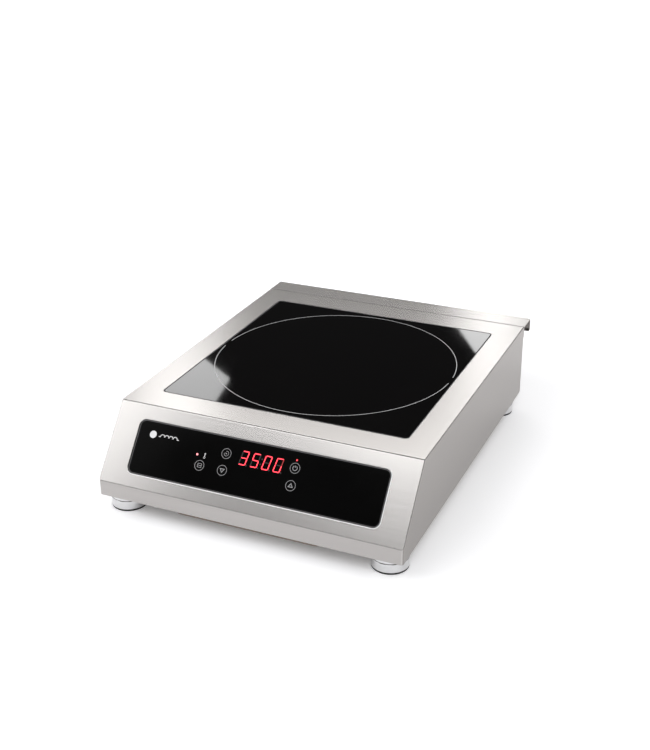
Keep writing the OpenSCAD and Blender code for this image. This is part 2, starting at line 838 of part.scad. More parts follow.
// A flat package under the heat sink, with its legs down into the board
module package(w, legs, at) {
    body_d = 20;
    body_h = 5;
    leg = 1.2;
    leg_pitch = 5.4;
    foot = board_z + board_t;
    color("black") block([w, body_d, body_h], [at.x, at.y, sink_z - body_h]);
    color("silver") for (i = [0:legs - 1])
        block([leg, leg, sink_z - 2 - foot],
            [at.x + (i - (legs - 1) / 2) * leg_pitch, at.y - body_d / 2 - 0.5, foot]);
}

module power_transistors() {
    for (y = [50, 90]) package(16, 3, [-22, y]);
}

module bridge_rectifier() {
    package(28, 4, [22, 60]);
}

module resonance_capacitors() {
    color("gold") for (y = [26, 52]) round_block(36, 20, 30, 1.5, [80, y, board_z + board_t]);
}

module bus_capacitor() {
    color("dodgerblue") round_block(36, 28, 34, 1.5, [80, 84, board_z + board_t]);
}

// A ring core under its turns of wire
module ring_choke(r_out, r_in, h, turns) {
    color("chocolate") {
        tube(r_out, r_in, h);
        for (i = [0:turns - 1]) rotate(i * 360 / turns)
            block([r_out - r_in + 3, 1.6, h + 3], [(r_out + r_in) / 2, 0, -1.5]);
    }
}

module power_choke() {
    translate([107, 122, board_z + board_t + 2]) ring_choke(14, 7, 12, 14);
}

module common_mode_choke() {
    translate([-109, -92, board_z + board_t + 2]) ring_choke(20, 11, 16, 18);
}

module filter_capacitors() {
    color("orange") for (y = [-48, -22]) round_block(32, 18, 26, 1.5, [-112, y, board_z + board_t]);
}

// Screw terminals for the incoming line, neutral and earth
module terminal_block() {
    size = [3 * terminal_pitch + 4, 24, 20];
    color("ivory") difference() {
        block(size, [terminal_spot.x, terminal_spot.y, base_top]);
        for (i = [-1:1]) translate([terminal_spot.x + i * terminal_pitch, terminal_spot.y, base_top]) {
            for (y = [-7, 7]) translate([0, y, terminal_hole_up + 1]) cylinder(h = size.z, r = 3);
            translate([0, -size.y, terminal_hole_up]) rotate([-90, 0, 0]) cylinder(h = 2 * size.y, r = 2.6);
        }
    }
}

// Leads from the terminals to the filter board
module mains_leads() {
    foot = board_z + board_t;
    low_z = base_top + terminal_hole_up;
    high_z = foot + 9;
    colours = ["saddlebrown", "blue"];
    for (i = [0, 1]) color(colours[i]) {
        x = terminal_spot.x - terminal_pitch * i;
        wire([
            [x, terminal_spot.y - 5, low_z], [x, 84, low_z], [x - 4, 60, high_z], [x - 4, 42, high_z],
            [x - 4, 38, high_z - 2], [x - 4, 37, foot + 3], [x - 4, 37, foot]
        ], 1.6);
    }
}

// Earth stud welded to the base, with its washer and nut
module earth_terminal() {
    color("goldenrod") translate([-84, 140, base_top]) {
        cylinder(h = 14, r = 2);
        translate([0, 0, 4]) tube(5, 2.05, 1);
        translate([0, 0, 5]) difference() {
            hexagon(7, 3.2);
            translate([0, 0, -past]) cylinder(h = 6, r = 2.05);
        }
    }
}

// ---------- Cable gland ----------

module at_gland() {
    translate([gland_x, back_y, gland_z]) rotate([-90, 0, 0]) children();
}

module cable_gland() {
    color("black") at_gland() difference() {
        union() {
            translate([0, 0, -10]) cylinder(h = 18, r = gland_thread_r);
            hexagon(gland_hex, 5);
        }
        translate([0, 0, -10 - past]) cylinder(h = 18 + 2 * past, r = gland_bore_r);
    }
}

module gland_cap() {
    color("black") at_gland() difference() {
        union() {
            translate([0, 0, 5.2]) hexagon(21, 10);
            translate([0, 0, 15.2]) cylinder(h = 6, r1 = 9.8, r2 = 7.4);
        }
        translate([0, 0, 5]) cylinder(h = 12, r = gland_thread_r + thread_fit);
        translate([0, 0, 12]) cylinder(h = 12, r = gland_bore_r);
    }
}

module gland_seal() {
    color("dimgray") at_gland() translate([0, 0, 8.2]) tube(gland_thread_r - 0.2, cable_r, 8.6);
}

module gland_locknut() {
    color("black") at_gland() translate([0, 0, -sheet - 5]) difference() {
        hexagon(gland_hex, 5);
        translate([0, 0, -past]) cylinder(h = 8, r = gland_thread_r + thread_fit);
    }
}

// ---------- Cooling ----------

// Shroud that turns the fan's air back through the fins
module air_duct() {
    wall = 1.5;
    w = fan_size + 4;
    y0 = fan_y - fan_size / 2 - 2;
    y1 = sink_y[0] - 1;
    z0 = fan_z + fan_h;
    color("dimgray") difference() {
        block([w, y1 - y0, sink_top + 2 - z0], [0, (y0 + y1) / 2, z0 + 0.2]);
        block([w - 2 * wall, y1 - y0, sink_top + 2 - z0 - wall + past],
            [0, (y0 + y1) / 2 + wall, z0 - past]);
    }
}

module at_fan_screws() {
    for (x = [-fan_pitch, fan_pitch], y = [-fan_pitch, fan_pitch])
        translate([x, fan_y + y, fan_z]) children();
}

module fan_frame() {
    arm_h = 3;
    color("black") translate([0, fan_y, fan_z]) difference() {
        union() {
            difference() {
                linear_extrude(fan_h) round_rect(fan_size, fan_size, 6);
                translate([0, 0, -past]) cylinder(h = fan_h + 2 * past, r = fan_bore);
                for (turn = [0:90:270]) rotate(turn) translate([fan_size / 2 - 13, fan_size / 2 - 13, 5])
                    cube([20, 20, fan_h - 10]);
            }
            cylinder(h = arm_h, r = rotor_hub_r);
            for (turn = [45:90:315]) rotate(turn) translate([rotor_hub_r - 1, -2.5, 0])
                cube([fan_bore - rotor_hub_r + 3, 5, arm_h]);
            cylinder(h = 15, r = 5);
        }
        translate([0, 0, 1]) cylinder(h = 20, r = fan_shaft_r + fan_fit);
        for (x = [-fan_pitch, fan_pitch], y = [-fan_pitch, fan_pitch])
            translate([x, y, -past]) cylinder(h = fan_h + 2 * past, r = 2.15);
    }
}

// Laminated core with four wound poles around the bearing tube
module fan_stator() {
    color("chocolate") translate([0, fan_y, fan_z + 4.5]) difference() {
        union() {
            cylinder(h = 9, r = 8);
            for (turn = [0:90:270]) rotate(turn) {
                block([8, 6, 9], [10, 0, 0]);
                intersection() {
                    block([4, 18, 7], [15, 0, 1]);
                    cylinder(h = 9, r = 17);
                }
            }
        }
        translate([0, 0, -past]) cylinder(h = 12, r = 5 + snug);
    }
}

// A cup-shaped hub on its shaft, with raked blades
module fan_rotor() {
    cup_low = 4.4;
    cup_high = fan_h - 2;
    blade_r = fan_bore - 1.2;
    color("dimgray") translate([0, fan_y, fan_z]) {
        difference() {
            translate([0, 0, cup_low]) cylinder(h = cup_high - cup_low, r = rotor_hub_r);
            translate([0, 0, cup_low - past]) cylinder(h = cup_high - cup_low - 1, r = rotor_hub_r - 2);
        }
        translate([0, 0, 1.5]) cylinder(h = cup_high - 2, r = fan_shaft_r);
        intersection() {
            translate([0, 0, 5]) tube(blade_r, rotor_hub_r - 1, fan_h - 8);
            for (i = [0:fan_blades - 1]) rotate(i * 360 / fan_blades)
                translate([0, 0, fan_h / 2 + 1]) rotate([38, 0, 0])
                translate([rotor_hub_r - 1, -fan_h, -0.8]) cube([blade_r, 2 * fan_h, 1.6]);
        }
    }
}

module fan_screws() {
    color("gray") at_fan_screws() translate([0, 0, -sheet]) rotate([180, 0, 0]) screw(3.6, 1.8, 2, 6);
}

// ---------- Feet ----------

module foot_collars() {
    color("gainsboro") at_feet() translate([0, 0, collar_low]) difference() {
        rotate_extrude() polygon(rounded(
            [[0, 0], [foot_dia / 2, 0], [foot_dia / 2, foot_h - collar_low], [0, foot_h - collar_low]],
            [0, 0.4, 0.4, 0]));
        translate([0, 0, -past]) cylinder(h = 10, r = stud_r + thread_fit);
    }
}

module foot_nuts() {
    color("silver") at_feet() translate([0, 0, base_top]) difference() {
        hexagon(13, 6.5);
        translate([0, 0, -past]) cylinder(h = 10, r = stud_r + thread_fit);
    }
}

// A turned cup with its threaded stud on top and a pin below that the pad swivels on
module foot_cup(x, y) {
    r = foot_dia / 2;
    color("gainsboro") translate([x, y, 0]) {
        difference() {
            rotate_extrude() polygon(rounded(
                [[0, cup_low], [r, cup_low], [r, cup_top], [0, cup_top]], [0, 0.5, 0.5, 0]));
            translate([0, 0, cup_low - past])
                cylinder(h = pad_top + pad_gap - cup_low + past, r = pad_neck_r + pad_gap);
        }
        translate([0, 0, cup_top - 1]) cylinder(h = stud_top - cup_top + 1, r = stud_r);
        translate([0, 0, 0.6]) cylinder(h = pad_top, r = pin_r);
        translate([0, 0, 0.6]) cylinder(h = 1, r = pin_head_r);
    }
}

// A rubber ring under the cup, whose neck turns freely inside it
module foot_pad(x, y) {
    r = foot_dia / 2 - 0.3;
    top = cup_low - pad_gap;
    color("black") translate([x, y, 0]) difference() {
        union() {
            rotate_extrude() polygon(rounded([[0, 0], [r, 0], [r, top], [0, top]], [0, 0.5, 0, 0]));
            cylinder(h = pad_top, r = pad_neck_r);
        }
        translate([0, 0, -past]) cylinder(h = 10, r = pin_r + thread_fit);
        translate([0, 0, -past]) cylinder(h = past + 1.9, r = pin_head_r + 0.4);
    }
}

module foot_cup_front_left() { foot_cup(-foot_x, foot_front_y); }
module foot_cup_front_right() { foot_cup(foot_x, foot_front_y); }
module foot_cup_rear_left() { foot_cup(-foot_x, foot_rear_y); }
module foot_cup_rear_right() { foot_cup(foot_x, foot_rear_y); }
module foot_pad_front_left() { foot_pad(-foot_x, foot_front_y); }
module foot_pad_front_right() { foot_pad(foot_x, foot_front_y); }
module foot_pad_rear_left() { foot_pad(-foot_x, foot_rear_y); }
module foot_pad_rear_right() { foot_pad(foot_x, foot_rear_y); }

housing();
rear_hood();
rear_panel();
base_plate();
base_screws();
rear_screws();
hood_rivets();
glass_plate();
glass_seal();
glass_ledge();
control_overlay();
control_tray();
control_board();
display_module();
indicator_leds();
touch_springs();
ribbon_cable();
coil_winding();
coil_carrier();
ferrite_bars();
mica_disc();
sensor_holder();
temperature_sensor();
coil_supports();
coil_tray();
coil_leads();
power_board();
board_standoffs();
board_screws();
heat_sink();
power_transistors();
bridge_rectifier();
resonance_capacitors();
bus_capacitor();
power_choke();
filter_board();
common_mode_choke();
filter_capacitors();
terminal_block();
mains_leads();
earth_terminal();
cable_gland();
gland_cap();
gland_seal();
gland_locknut();
air_duct();
fan_frame();
fan_stator();
fan_rotor();
fan_screws();
foot_collars();
foot_nuts();
foot_cup_front_left();
foot_cup_front_right();
foot_cup_rear_left();
foot_cup_rear_right();
foot_pad_front_left();
foot_pad_front_right();
foot_pad_rear_left();
foot_pad_rear_right();
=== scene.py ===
from math import cos, pi, radians, sin, tan

import bpy
from mathutils import Matrix, Vector


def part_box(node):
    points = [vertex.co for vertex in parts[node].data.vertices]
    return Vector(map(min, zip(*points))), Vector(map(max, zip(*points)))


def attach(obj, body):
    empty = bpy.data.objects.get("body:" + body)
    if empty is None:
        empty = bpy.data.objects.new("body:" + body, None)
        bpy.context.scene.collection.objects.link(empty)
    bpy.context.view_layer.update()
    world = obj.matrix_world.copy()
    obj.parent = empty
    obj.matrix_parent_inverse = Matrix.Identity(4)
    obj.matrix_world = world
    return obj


# Looks and studio for a countertop induction hob. Lengths are in metres, in the CAD's own frame.

MM = 0.001

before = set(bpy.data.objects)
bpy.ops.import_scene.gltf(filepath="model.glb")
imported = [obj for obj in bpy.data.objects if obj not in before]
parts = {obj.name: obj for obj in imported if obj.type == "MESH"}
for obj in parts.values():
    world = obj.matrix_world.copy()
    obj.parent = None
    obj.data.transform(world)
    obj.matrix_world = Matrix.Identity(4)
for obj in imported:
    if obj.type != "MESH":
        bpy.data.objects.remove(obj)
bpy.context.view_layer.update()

# The camera stands in front of the hob, to its right, and looks down on it.
CAMERA_PLACE = Vector((0.4698, -1.0638, 0.6307))
CAMERA_AZIMUTH = 24.17
CAMERA_ELEVATION = 25.01
CAMERA_ROLL = -0.59
CAMERA_LENS = 56.74
SENSOR = 36.0

# Printed marks and lit segments stand this far off the surface that carries them.
PRINT_LIFT = 0.03 * MM
PRINT_THICKNESS = 0.02 * MM

# Control panel layout: across, and up the slope from the middle of the panel
KEY_RING = 10.0 * MM
RING_LINE = 0.42 * MM
SYMBOL_LINE = 0.42 * MM
KEYS = {
    "menu": Vector((-59.2, -6.0)) * MM,
    "timer": Vector((-34.0, 10.9)) * MM,
    "down": Vector((-34.0, -6.0)) * MM,
    "power": Vector((40.0, 10.9)) * MM,
    "up": Vector((40.0, -6.3)) * MM,
}
THERMOMETER = Vector((-56.2, 4.4)) * MM
LAMPS = {"heat": Vector((-64.6, 4.3)) * MM, "power": Vector((40.0, 18.8)) * MM}
SYMBOL = Vector((-118.2, 14.6)) * MM

# The overlay shows through a rounded window of the fascia and lies a little below the fascia's face. A grey
# band of painted shade borders it, for the window's shaded cut wall, and a painted highlight follows the
# window's lower and right sides on the fascia.
WINDOW = Vector((271.5, 56.5)) * MM
WINDOW_RADIUS = 7.0 * MM
CORNER_STEPS = 10
OVERLAY_BELOW = 1.25 * MM
EDGE_BAND = 1.3 * MM
RIM_LINE = 0.65 * MM
RIM_OUT = 0.7 * MM

# A dark block of painted shade in the seam in front of the hood: its gap to the metal, and the depths where
# it begins and ends
SEAM_CLEAR = 0.02 * MM
SEAM_DROP = 0.04 * MM
SEAM_DEPTH = 3.0 * MM

# Display: four seven-segment digits
DIGITS = "3500"
DIGIT_MIDDLES = [-14.4 * MM, -2.0 * MM, 10.3 * MM, 22.6 * MM]
DIGIT_UP = 10.1 * MM
DIGIT_HEIGHT = 14.2 * MM
DIGIT_WIDTH = 7.4 * MM
SEGMENT = 0.88 * MM
DIGIT_SLANT = 8.0
LIT = {"0": "abcdef", "3": "abcdg", "5": "acdfg"}
FAINT_DIGIT = 3
FAINT_SEGMENT = "b"

# Cooking zone print on the glass
ZONE_RADIUS = 131.3 * MM
ZONE_LINE = 0.7 * MM
ZONE_GAP_DEG = (-2.8, 3.7)


# A mitred corner of a line reaches no further than the half width divided by this.
MITRE_LIMIT = 0.35


# ---------- Mesh helpers ----------

def mesh_object(name, points, faces):
    """A mesh from its points and faces, linked to the scene."""
    mesh = bpy.data.meshes.new(name)
    mesh.from_pydata([tuple(p) for p in points], [], faces)
    mesh.validate()
    mesh.update()
    obj = bpy.data.objects.new(name, mesh)
    bpy.context.scene.collection.objects.link(obj)
    return obj


class Plane:
    """A flat surface to print on: its middle, its directions across and up, and its outward normal."""

    def __init__(self, middle, across, up):
        self.middle = Vector(middle)
        self.across = Vector(across).normalized()
        self.up = Vector(up).normalized()
        self.normal = self.across.cross(self.up)

    def at(self, p, lift=0.0):
        return self.middle + self.across * p[0] + self.up * p[1] + self.normal * lift


class Print:
    """Flat marks on a plane, gathered into one thin closed mesh."""

    def __init__(self, plane, lift=PRINT_LIFT, thickness=PRINT_THICKNESS):
        self.plane = plane
        self.lift = lift
        self.thickness = thickness
        self.points = []
        self.faces = []

    def patch(self, outline):
        """Adds a filled convex outline, listed anticlockwise."""
        n = len(outline)
        first = len(self.points)
        for height in (self.lift, self.lift + self.thickness):
            self.points += [self.plane.at(p, height) for p in outline]
        low = [first + i for i in range(n)]
        high = [first + n + i for i in range(n)]
        self.faces.append(tuple(reversed(low)))
        self.faces.append(tuple(high))
        for i in range(n):
            j = (i + 1) % n
            self.faces.append((low[i], low[j], high[j], high[i]))

    def stroke(self, path, width, closed=False):
        """Adds a line of even width along a path, mitred at its corners."""
        sides = offset_sides(path, width / 2, closed)
        count = len(path) if closed else len(path) - 1
        for i in range(count):
            j = (i + 1) % len(path)
            self.patch([sides[i][1], sides[j][1], sides[j][0], sides[i][0]])

    def disc(self, middle, radius, steps=24):
        self.patch(circle(middle, radius, 0, 360, steps)[:-1])

    def ring(self, middle, radius, width, steps=48):
        self.stroke(circle(middle, radius, 0, 360, steps)[:-1], width, closed=True)

    def build(self, name):
        return mesh_object(name, self.points, self.faces)


def circle(middle, radius, start, end, steps):
    """Points along an arc, anticlockwise, with angles in degrees."""
    angles = [radians(start + (end - start) * i / steps) for i in range(steps + 1)]
    return [Vector((middle[0] + radius * cos(a), middle[1] + radius * sin(a))) for a in angles]


def offset_sides(path, half, closed):
    """For each point of a path, the points half a width to its left and right."""
    path = [Vector((p[0], p[1])) for p in path]
    n = len(path)
    sides = []
    for i, p in enumerate(path):
        before = path[i - 1] if closed or i > 0 else None
        after = path[(i + 1) % n] if closed or i < n - 1 else None
        steps = []
        if before is not None:
            steps.append((p - before).normalized())
        if after is not None:
            steps.append((after - p).normalized())
        along = sum(steps, Vector((0, 0))).normalized()
        left = Vector((-along.y, along.x))
        reach = half / max(MITRE_LIMIT, left.dot(Vector((-steps[0].y, steps[0].x))))
        sides.append((p + left * reach, p - left * reach))
    return sides


# ---------- Material helpers ----------

def new_material(name, color, roughness, metallic=0.0):
    """A material with its surface shader, and the node tree to add detail to."""
    mat = bpy.data.materials.new(name)
    mat.use_nodes = True
    tree = mat.node_tree
    shader = tree.nodes["Principled BSDF"]
    shader.inputs["Base Color"].default_value = (*color, 1)
    shader.inputs["Roughness"].default_value = roughness
    shader.inputs["Metallic"].default_value = metallic
    return mat, tree, shader


def coordinates(tree, scale):
    """Object coordinates stretched by a scale for each axis."""
    source = tree.nodes.new("ShaderNodeTexCoord")
    mapping = tree.nodes.new("ShaderNodeMapping")
    mapping.inputs["Scale"].default_value = scale
    tree.links.new(source.outputs["Object"], mapping.inputs["Vector"])
    return mapping.outputs["Vector"]


def noise(tree, scale, detail=4.0, rough=0.55, vector=None):
    """Noise between 0 and 1 whose features are about 1 / scale metres across."""
    node = tree.nodes.new("ShaderNodeTexNoise")
    node.inputs["Scale"].default_value = 1.0
    node.inputs["Detail"].default_value = detail
    node.inputs["Roughness"].default_value = rough
    scale = scale if isinstance(scale, tuple) else (scale, scale, scale)
    tree.links.new(vector or coordinates(tree, scale), node.inputs["Vector"])
    return node.outputs["Fac"]


def spread(tree, value, low, high, start=0.25, end=0.75):
    """Maps a value from start..end onto low..high."""
    node = tree.nodes.new("ShaderNodeMapRange")
    for name, number in (("From Min", start), ("From Max", end), ("To Min", low), ("To Max", high)):
        node.inputs[name].default_value = number
    tree.links.new(value, node.inputs["Value"])
    return node.outputs["Result"]


def blend_colors(tree, factor, a, b):
    """A colour between a and b."""
    node = tree.nodes.new("ShaderNodeMix")
    node.data_type = "RGBA"
    node.inputs["A"].default_value = (*a, 1)
    node.inputs["B"].default_value = (*b, 1)
    tree.links.new(factor, node.inputs["Factor"])
    return node.outputs["Result"]


def mix_values(tree, factor, a, b):
    """A number, vector or colour socket between two others."""
    node = tree.nodes.new("ShaderNodeMix")
    node.data_type = {"VECTOR": "VECTOR", "RGBA": "RGBA"}.get(a.type, "FLOAT")
    node.clamp_factor = True
    kind = [s for s in node.inputs if s.enabled]
    tree.links.new(factor, kind[0])
    tree.links.new(a, kind[1])
    tree.links.new(b, kind[2])
    return [s for s in node.outputs if s.enabled][0]


def combine(tree, operation, a, b):
    """Two numbers added or multiplied."""
    node = tree.nodes.new("ShaderNodeMath")
    node.operation = operation
    tree.links.new(a, node.inputs[0])
    tree.links.new(b, node.inputs[1])
    return node.outputs["Value"]


def bump(tree, shader, height, depth, strength=1.0):
    """Raises the surface by up to depth metres where the height is 1."""
    node = tree.nodes.new("ShaderNodeBump")
    node.inputs["Distance"].default_value = depth
    node.inputs["Strength"].default_value = strength
    tree.links.new(height, node.inputs["Height"])
    tree.links.new(node.outputs["Normal"], shader.inputs["Normal"])
    return node


def facing(tree, axis):
    """How squarely the surface faces along an axis, from 0 to 1."""
    geometry = tree.nodes.new("ShaderNodeNewGeometry")
    split = tree.nodes.new("ShaderNodeSeparateXYZ")
    tree.links.new(geometry.outputs["True Normal"], split.inputs["Vector"])
    size = tree.nodes.new("ShaderNodeMath")
    size.operation = "ABSOLUTE"
    tree.links.new(split.outputs[axis], size.inputs[0])
    return size.outputs["Value"]


def direction(tree, vector):
    node = tree.nodes.new("ShaderNodeCombineXYZ")
    for i, number in enumerate(vector):
        node.inputs[i].default_value = number
    return node.outputs["Vector"]


def varied(name, color, roughness, grain=900, tone=0.12, depth=0.02 * MM, metallic=0.0, wander=0.06):
    """A moulded, cast or painted surface: mottled colour, uneven gloss and a fine texture."""
    mat, tree, shader = new_material(name, color, roughness, metallic)
    fine = noise(tree, grain, 3.0)
    broad = noise(tree, 35, 3.0)
    darker = tuple(c * (1 - tone) for c in color)
    lighter = tuple(min(1.0, c * (1 + tone)) for c in color)
    tree.links.new(blend_colors(tree, broad, darker, lighter), shader.inputs["Base Color"])
    tree.links.new(spread(tree, broad, roughness - wander, roughness + wander), shader.inputs["Roughness"])
    bump(tree, shader, fine, depth)
    return mat


# ---------- Materials ----------

# Painted shade on the steel beside its top and fascia, as darker tints of its colour: its sides, whose
# grain is upright, its strip in front, and most of all its bends
PLAIN_TINT = (1, 1, 1)
SIDE_SHADE = (0.61, 0.588, 0.57)
STRIP_SHADE = (0.86, 0.85, 0.845)
BEND_SHADE = (0.45, 0.45, 0.45)

# How squarely a face lies to X on the sides, to Y on the strip, and to Z where a bend starts and ends
SIDE_FACING = (0.6, 0.8)
STRIP_FACING = (0.9, 0.98)
BEND_START = (0.74, 0.78)
BEND_END = (0.985, 0.995)

# Marks of the brush: how many lie in a metre along the grain and across it
GRAIN = (14, 2600)
STREAKS = (4, 420)
RIPPLES = (14, 700)
RIPPLE_DEPTH = 0.0005 * MM


def brush_marks(tree, side, marks, detail, rough=0.55):
    """Noise drawn out along X, and up and down on the sides."""
    along, across = marks
    on_top = noise(tree, (along, across, across), detail, rough)
    on_side = noise(tree, (across, across, along), detail, rough)
    return mix_values(tree, side, on_top, on_side)


def tinted(tree, level, color, tint, contrast):
    """A tinted colour, darker or lighter by the contrast as the level goes from 0 to 1."""
    dark, light = (tuple(c * k * t for c, t in zip(color, tint)) for k in (1 - contrast, 1 + contrast))
    return blend_colors(tree, level, dark, light)


def steel_color(tree, side, streaks, color, contrast):
    """The colour of the sheet on its top and fascia, and darker with painted shade on its sides, its front
    strip and its bends.
    """
    level = spread(tree, streaks, 0, 1)
    tints = (PLAIN_TINT, SIDE_SHADE, STRIP_SHADE, BEND_SHADE)
    top, flank, strip, bend = (tinted(tree, level, color, tint, contrast) for tint in tints)
    ahead = spread(tree, facing(tree, "Y"), 0, 1, *STRIP_FACING)
    flat = mix_values(tree, side, mix_values(tree, ahead, top, strip), flank)
    upward = facing(tree, "Z")
    past_start = spread(tree, upward, 0, 1, *BEND_START)
    before_end = spread(tree, upward, 1, 0, *BEND_END)
    return mix_values(tree, combine(tree, "MULTIPLY", past_start, before_end), flat, bend)


def brushed_steel(name, color, roughness, anisotropy, contrast):
    """Steel brushed along X on top and in front, and up and down on the sides."""
    mat, tree, shader = new_material(name, color, roughness, 1.0)
    side = spread(tree, facing(tree, "X"), 0, 1, *SIDE_FACING)
    grain = brush_marks(tree, side, GRAIN, 5.0, 0.65)
    streaks = brush_marks(tree, side, STREAKS, 3.0, 0.6)
    tree.links.new(steel_color(tree, side, streaks, color, contrast), shader.inputs["Base Color"])
    uneven = mix_values(tree, noise(tree, 9, 2.0), grain, streaks)
    tree.links.new(spread(tree, uneven, roughness - 0.02, roughness + 0.03), shader.inputs["Roughness"])
    shader.inputs["Anisotropic"].default_value = anisotropy
    across_grain = mix_values(tree, side, direction(tree, (0, 0.7, 0.7)), direction(tree, (0, 1, 0)))
    tree.links.new(across_grain, shader.inputs["Tangent"])
    bump(tree, shader, brush_marks(tree, side, RIPPLES, 0.0), RIPPLE_DEPTH)
    return mat


def black_glass(name, color, roughness, specular):
    """Glossy black glass with a faint uneven polish."""
    mat, tree, shader = new_material(name, color, roughness)
    shader.inputs["IOR"].default_value = 1.5
    shader.inputs["Specular IOR Level"].default_value = specular
    broad = noise(tree, 18, 4.0)
    deeper = tuple(c * 0.8 for c in color)
    tree.links.new(blend_colors(tree, broad, deeper, color), shader.inputs["Base Color"])
    tree.links.new(spread(tree, broad, roughness * 0.7, roughness * 1.3), shader.inputs["Roughness"])
    return mat


def chrome(name):
    """Polished plating with fine turning lines and a few dull patches."""
    dull, bright = (0.58, 0.58, 0.59), (0.7, 0.7, 0.7)
    mat, tree, shader = new_material(name, dull, 0.08, 1.0)
    lines = noise(tree, (30, 30, 5200), 3.0)
    broad = noise(tree, 140, 3.0)
    tree.links.new(spread(tree, broad, 0.05, 0.14), shader.inputs["Roughness"])
    tree.links.new(blend_colors(tree, broad, dull, bright), shader.inputs["Base Color"])
    bump(tree, shader, lines, 0.004 * MM)
    return mat


def glowing(name, color, strength, base):
    """A lit segment or lamp behind a tinted cover, its glow a little mottled."""
    mat, tree, shader = new_material(name, base, 0.3)
    mottle = noise(tree, 700, 2.0)
    dim = tuple(c * 0.82 for c in color)
    tree.links.new(blend_colors(tree, mottle, dim, color), shader.inputs["Emission Color"])
    shader.inputs["Emission Strength"].default_value = strength
    return mat


def circuit_board(name):
    """Green solder mask over lighter tracks, with a fine glass weave."""
    mat, tree, shader = new_material(name, (0.02, 0.16, 0.07), 0.3)
    cells = tree.nodes.new("ShaderNodeTexVoronoi")
    cells.feature = "DISTANCE_TO_EDGE"
    cells.inputs["Scale"].default_value = 1.0
    tree.links.new(coordinates(tree, (160, 160, 160)), cells.inputs["Vector"])
    tracks = spread(tree, cells.outputs["Distance"], 0, 1, 0.06, 0.1)
    track_green, board_green = (0.05, 0.26, 0.12), (0.015, 0.12, 0.05)
    tree.links.new(blend_colors(tree, tracks, track_green, board_green), shader.inputs["Base Color"])
    tree.links.new(spread(tree, noise(tree, 2500, 2.0), 0.24, 0.38), shader.inputs["Roughness"])
    bump(tree, shader, tracks, 0.03 * MM, 0.6)
    return mat


def wound_wire(name, color):
    """Strands laid side by side around the axis of a coil."""
    mat, tree, shader = new_material(name, color, 0.38)
    strands = noise(tree, (2200, 2200, 2200), 2.0)
    dark = tuple(c * 0.55 for c in color)
    tree.links.new(blend_colors(tree, spread(tree, strands, 0, 1, 0.35, 0.65), dark, color),
                   shader.inputs["Base Color"])
    shader.inputs["Coat Weight"].default_value = 0.4
    bump(tree, shader, strands, 0.08 * MM)
    return mat


def mica(name):
    """Pale layered mineral sheet with darker flakes."""
    mat, tree, shader = new_material(name, (0.6, 0.5, 0.34), 0.35)
    flakes = tree.nodes.new("ShaderNodeTexVoronoi")
    flakes.inputs["Scale"].default_value = 1.0
    tree.links.new(coordinates(tree, (260, 260, 260)), flakes.inputs["Vector"])
    tone = spread(tree, flakes.outputs["Distance"], 0, 1, 0.1, 0.8)
    pale, dark = (0.66, 0.57, 0.4), (0.4, 0.32, 0.2)
    tree.links.new(blend_colors(tree, tone, pale, dark), shader.inputs["Base Color"])
    bump(tree, shader, tone, 0.05 * MM)
    return mat


STEEL = brushed_steel("steel_brushed", (0.5, 0.485, 0.475), 0.25, 0.6, 0.035)
# The base's steel is a dark, brownish copy of the body's steel: painted shade with a painted warm
# reflection.
BASE_STEEL_SHADED = brushed_steel("steel_base_shaded", (0.19, 0.155, 0.13), 0.4, 0.3, 0.06)
COOKTOP = black_glass("cooktop_glass", (0.0022, 0.0018, 0.0018), 0.035, 0.38)
PANEL = black_glass("panel_glass", (0.003, 0.003, 0.003), 0.14, 0.03)
CHROME = chrome("foot_chrome")
SEAM_SHADE = varied("seam_painted_shade", (0.02, 0.018, 0.017), 0.6)
SEAL = varied("seal_silicone", (0.05, 0.05, 0.055), 0.5)
RUBBER = varied("black_rubber", (0.008, 0.008, 0.008), 0.8, grain=1400, depth=0.05 * MM)
BLACK_PLASTIC = varied("black_plastic", (0.03, 0.03, 0.032), 0.45)
CARRIER = varied("carrier_plastic", (0.09, 0.09, 0.095), 0.5)
BOARD = circuit_board("circuit_board")
SCREWS = varied("plated_steel", (0.6, 0.6, 0.6), 0.3, metallic=1.0, depth=0.01 * MM)
BRASS = varied("brass", (0.75, 0.56, 0.26), 0.28, metallic=1.0, depth=0.01 * MM)
ALUMINIUM = varied("mill_aluminium", (0.76, 0.77, 0.78), 0.36, metallic=1.0, depth=0.02 * MM)
FERRITE = varied("ferrite", (0.055, 0.055, 0.06), 0.55, grain=1800, depth=0.06 * MM)
MICA = mica("mica_sheet")
WHITE_SILICONE = varied("white_silicone", (0.78, 0.78, 0.74), 0.5, tone=0.05)
RIBBON = varied("ribbon_grey", (0.62, 0.62, 0.6), 0.5, tone=0.06)
WINDING = wound_wire("winding_copper", (0.5, 0.2, 0.08))
LEAD_RED = varied("lead_red", (0.5, 0.045, 0.035), 0.5, tone=0.08)
LEAD_BLUE = varied("lead_blue", (0.07, 0.13, 0.4), 0.5, tone=0.08)
EPOXY = varied("black_epoxy", (0.03, 0.03, 0.03), 0.5, grain=1600, depth=0.04 * MM)
FILM_CAP = varied("film_capacitor", (0.72, 0.5, 0.06), 0.3, tone=0.06)
BUS_CAP = varied("bus_capacitor", (0.06, 0.17, 0.42), 0.3, tone=0.08)
TERMINAL = varied("terminal_ivory", (0.78, 0.75, 0.66), 0.45, tone=0.05)
DISPLAY = varied("display_housing", (0.03, 0.03, 0.033), 0.35)
LAMP = glowing("lamp_red", (1.0, 0.06, 0.09), 1.3, (0.4, 0.02, 0.02))
LAMP_PALE = glowing("lamp_pale_red", (1.0, 0.36, 0.4), 1.7, (0.5, 0.1, 0.1))
SEGMENT_LIT = glowing("segment_lit", (1.0, 0.045, 0.07), 3.2, (0.35, 0.01, 0.01))
